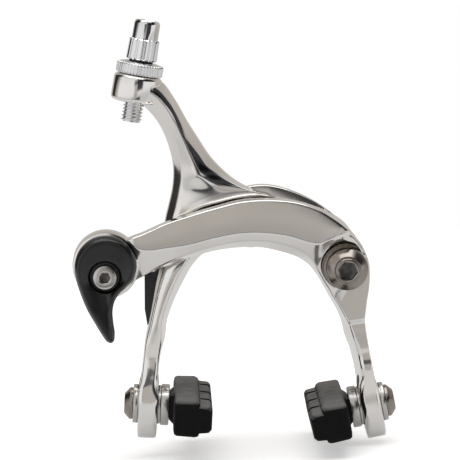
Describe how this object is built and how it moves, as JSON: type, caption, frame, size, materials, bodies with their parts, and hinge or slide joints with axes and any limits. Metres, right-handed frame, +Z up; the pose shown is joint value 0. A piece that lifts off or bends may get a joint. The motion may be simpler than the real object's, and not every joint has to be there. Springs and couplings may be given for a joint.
{
  "type": "rim brake caliper",
  "caption": "Dual-pivot side-pull bicycle rim brake caliper with curved arms, quick-release cable anchor, barrel adjuster and slotted legs for its rubber pads.",
  "frame": {"origin": "where the mounting bolt's axis meets the face that rests on the fork crown", "axes": "+Z up, +X to the right seen from in front, the caliper faces -Y, +Y along the mounting bolt into the fork"},
  "size_m": [0.0915, 0.069, 0.1267],
  "materials": {
    "polished_alloy": "polished, clear anodised",
    "bolt_steel": "nickel plated steel",
    "zinc_steel": "zinc plated steel",
    "barrel_chrome": "chrome plated brass",
    "spring_steel": "bright spring steel",
    "black_alloy": "semi-gloss black anodised",
    "black_nylon": "moulded nylon",
    "bearing_nylon": "moulded bearing plastic",
    "pad_rubber": "matt moulded rubber",
    "ring_rubber": "rubber"
  },
  "bodies": {
    "mount": {"mounting_bolt": "zinc_steel", "mounting_bracket": "polished_alloy", "toothed_washer": "zinc_steel", "crown_spacer": "polished_alloy", "front_thrust_washer": "bearing_nylon", "centre_bushing": "zinc_steel", "rear_thrust_washer": "bearing_nylon", "side_pivot_bolt": "bolt_steel", "side_cone_washer": "bolt_steel", "side_bushing": "zinc_steel", "side_thrust_washer": "bearing_nylon", "return_spring": "spring_steel"},
    "long_arm": {"long_arm": "polished_alloy", "left_spring_block": "black_nylon"},
    "short_arm": {"short_arm": "polished_alloy", "right_spring_block": "black_nylon"},
    "centring_screw": {"centring_screw": "zinc_steel"},
    "quick_release": {"quick_release_lever": "black_alloy", "lever_holder": "zinc_steel", "cable_anchor_bolt": "zinc_steel", "cable_clamp_plate": "zinc_steel", "cable_anchor_nut": "zinc_steel"},
    "lock_ring": {"adjuster_lock_ring": "barrel_chrome"},
    "barrel": {"barrel_adjuster": "barrel_chrome", "adjuster_friction_ring": "ring_rubber"},
    "left_pad_clamp": {"left_pad_inner_washer": "zinc_steel", "left_pad_shim_washer": "zinc_steel", "left_pad_outer_washer": "zinc_steel", "left_pad_nut": "zinc_steel"},
    "left_pad": {"left_pad_block": "pad_rubber", "left_pad_stud": "zinc_steel"},
    "right_pad_clamp": {"right_pad_inner_washer": "zinc_steel", "right_pad_shim_washer": "zinc_steel", "right_pad_outer_washer": "zinc_steel", "right_pad_nut": "zinc_steel"},
    "right_pad": {"right_pad_block": "pad_rubber", "right_pad_stud": "zinc_steel"}
  },
  "joints": [
    {"name": "long_arm_close", "type": "hinge", "parent": "mount", "child": "long_arm", "pos_m": [0, -0.0165, 0], "axis": [0, -1, 0], "range_deg": [0, 6], "stiffness_Nm_per_rad": 0.3, "springref_deg": -68.75, "deforming": ["return_spring"]},
    {"name": "short_arm_close", "type": "hinge", "parent": "mount", "child": "short_arm", "pos_m": [0.027, -0.0187, -0.0135], "axis": [0, 1, 0], "range_deg": [0, 7.68]},
    {"name": "centring_screw_turn", "type": "hinge", "parent": "short_arm", "child": "centring_screw", "pos_m": [0.02, -0.017, -0.0015], "axis": [0.6401, 0, 0.7683], "range_deg": [-180, 180]},
    {"name": "quick_release_turn", "type": "hinge", "parent": "short_arm", "child": "quick_release", "pos_m": [-0.0425, -0.028, -0.0083], "axis": [0, 1, 0], "range_deg": [0, 90]},
    {"name": "lock_ring_turn", "type": "hinge", "parent": "long_arm", "child": "lock_ring", "pos_m": [-0.0294, -0.0185, 0.04726], "axis": [0.225, 0, 0.9744], "continuous": true},
    {"name": "barrel_turn", "type": "hinge", "parent": "long_arm", "child": "barrel", "pos_m": [-0.02805, -0.0185, 0.05311], "axis": [0.225, 0, 0.9744], "continuous": true},
    {"name": "left_pad_height", "type": "slide", "parent": "long_arm", "child": "left_pad_clamp", "axis": [0.1045, 0, 0.9945], "range_m": [-0.004, 0.006]},
    {"name": "left_pad_tilt", "type": "hinge", "parent": "left_pad_clamp", "child": "left_pad", "pos_m": [-0.0329, -0.0185, -0.0512], "axis": [0.9945, 0, -0.1045], "range_deg": [-6, 6]},
    {"name": "right_pad_height", "type": "slide", "parent": "short_arm", "child": "right_pad_clamp", "axis": [-0.1305, 0, 0.9914], "range_m": [-0.004, 0.006]},
    {"name": "right_pad_tilt", "type": "hinge", "parent": "right_pad_clamp", "child": "right_pad", "pos_m": [0.0323, -0.0185, -0.055], "axis": [-0.9914, 0, -0.1305], "range_deg": [-6, 6]}
  ],
  "couplings": [
    {"joint": "short_arm_close", "follows": "long_arm_close", "ratio": 1.28}
  ]
}
